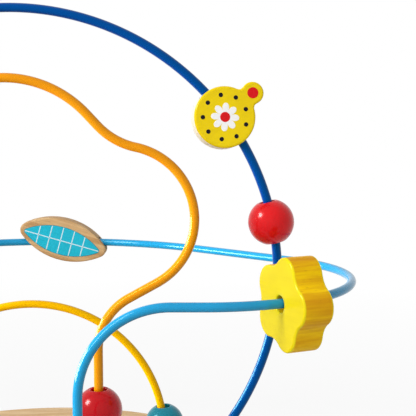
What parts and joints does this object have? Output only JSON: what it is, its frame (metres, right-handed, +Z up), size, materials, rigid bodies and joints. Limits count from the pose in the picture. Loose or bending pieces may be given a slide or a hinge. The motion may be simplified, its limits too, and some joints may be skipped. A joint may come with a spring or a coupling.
{
  "type": "bead maze",
  "caption": "Bead maze of bent, coated wires on a round wooden board, with painted wooden beads that run along the wires.",
  "frame": {"origin": "middle of the overall box, on the surface that the foot pads stand on", "axes": "+X to the viewer's right along the level loop, +Y away from the viewer, +Z up"},
  "size_m": [0.3808, 0.282, 0.2995],
  "materials": {
    "board_wood": "clear satin varnish",
    "hoop_blue": "glossy coating",
    "wavy_orange": "glossy coating",
    "loop_light_blue": "glossy coating",
    "arch_yellow": "glossy coating",
    "collar_white": "smooth",
    "pad_rubber": "matt",
    "bead_red": "glossy paint",
    "bead_yellow": "satin paint",
    "bead_green": "glossy paint",
    "bead_teal": "glossy paint",
    "bead_blue": "glossy paint",
    "bead_orange": "glossy paint",
    "leaf_teal": "painted panel in a bare rim"
  },
  "bodies": {
    "frame": {"base_board": "board_wood", "hoop_wire": "hoop_blue", "wavy_wire": "wavy_orange", "loop_wire": "loop_light_blue", "arch_wire": "arch_yellow", "collar_hoop_left": "collar_white", "collar_hoop_right": "collar_white", "collar_wavy_left": "collar_white", "collar_wavy_right": "collar_white", "collar_loop_left": "collar_white", "collar_loop_right": "collar_white", "collar_arch_left": "collar_white", "collar_arch_right": "collar_white", "foot_pad_front_left": "pad_rubber", "foot_pad_front_right": "pad_rubber", "foot_pad_back_right": "pad_rubber", "foot_pad_back_left": "pad_rubber"},
    "disc": {"disc_bead": "bead_yellow"},
    "red_hoop": {"red_hoop_bead": "bead_red"},
    "green_hoop": {"green_hoop_bead": "bead_green"},
    "flower": {"flower_bead": "bead_yellow"},
    "orange_loop": {"orange_loop_bead": "bead_orange"},
    "barrel": {"barrel_bead": "bead_green"},
    "red_leg": {"red_leg_bead": "bead_red"},
    "yellow_leg": {"yellow_leg_bead": "bead_yellow"},
    "blue_leg": {"blue_leg_bead": "bead_blue"},
    "teal_arch": {"teal_arch_bead": "bead_teal"},
    "red_arch": {"red_arch_bead": "bead_red"},
    "leaf": {"leaf_bead": "leaf_teal"}
  },
  "joints": [
    {"name": "disc_along_hoop", "type": "hinge", "parent": "frame", "child": "disc", "pos_m": [0, -0.045, 0.153], "axis": [0, -1, 0], "range_deg": [-5, 163]},
    {"name": "red_along_hoop", "type": "hinge", "parent": "frame", "child": "red_hoop", "pos_m": [0, -0.045, 0.153], "axis": [0, -1, 0], "range_deg": [-40, 8]},
    {"name": "green_along_hoop_foot", "type": "hinge", "parent": "frame", "child": "green_hoop", "pos_m": [-0.1683, -0.045, 0.03771], "axis": [0, -1, 0], "range_deg": [0, 22]},
    {"name": "flower_along_loop", "type": "hinge", "parent": "frame", "child": "flower", "pos_m": [0.104, -0.016, 0.1463], "axis": [0, 0, 1], "range_deg": [-26, 100]},
    {"name": "orange_along_loop", "type": "hinge", "parent": "frame", "child": "orange_loop", "pos_m": [-0.104, -0.016, 0.1463], "axis": [0, 0, -1], "range_deg": [-53, 69]},
    {"name": "leaf_along_loop", "type": "hinge", "parent": "frame", "child": "leaf", "pos_m": [0, -0.02011, 0.1463], "axis": [0, 0, 1], "range_deg": [-28, 28]},
    {"name": "barrel_up_leg", "type": "slide", "parent": "frame", "child": "barrel", "axis": [0, 0, 1], "range_m": [0, 0.009]},
    {"name": "red_up_leg", "type": "slide", "parent": "barrel", "child": "red_leg", "axis": [0, 0, 1], "range_m": [0, 0.009]},
    {"name": "yellow_up_leg", "type": "slide", "parent": "frame", "child": "yellow_leg", "axis": [0, 0, 1], "range_m": [0, 0.02]},
    {"name": "blue_up_leg", "type": "slide", "parent": "yellow_leg", "child": "blue_leg", "axis": [0, 0, 1], "range_m": [0, 0.02]},
    {"name": "teal_along_arch", "type": "hinge", "parent": "frame", "child": "teal_arch", "pos_m": [-0.008, 0.052, 0.032], "axis": [0, -1, 0], "range_deg": [0, 75]},
    {"name": "red_along_arch", "type": "hinge", "parent": "frame", "child": "red_arch", "pos_m": [-0.008, 0.052, 0.032], "axis": [0, 1, 0], "range_deg": [0, 75]}
  ]
}
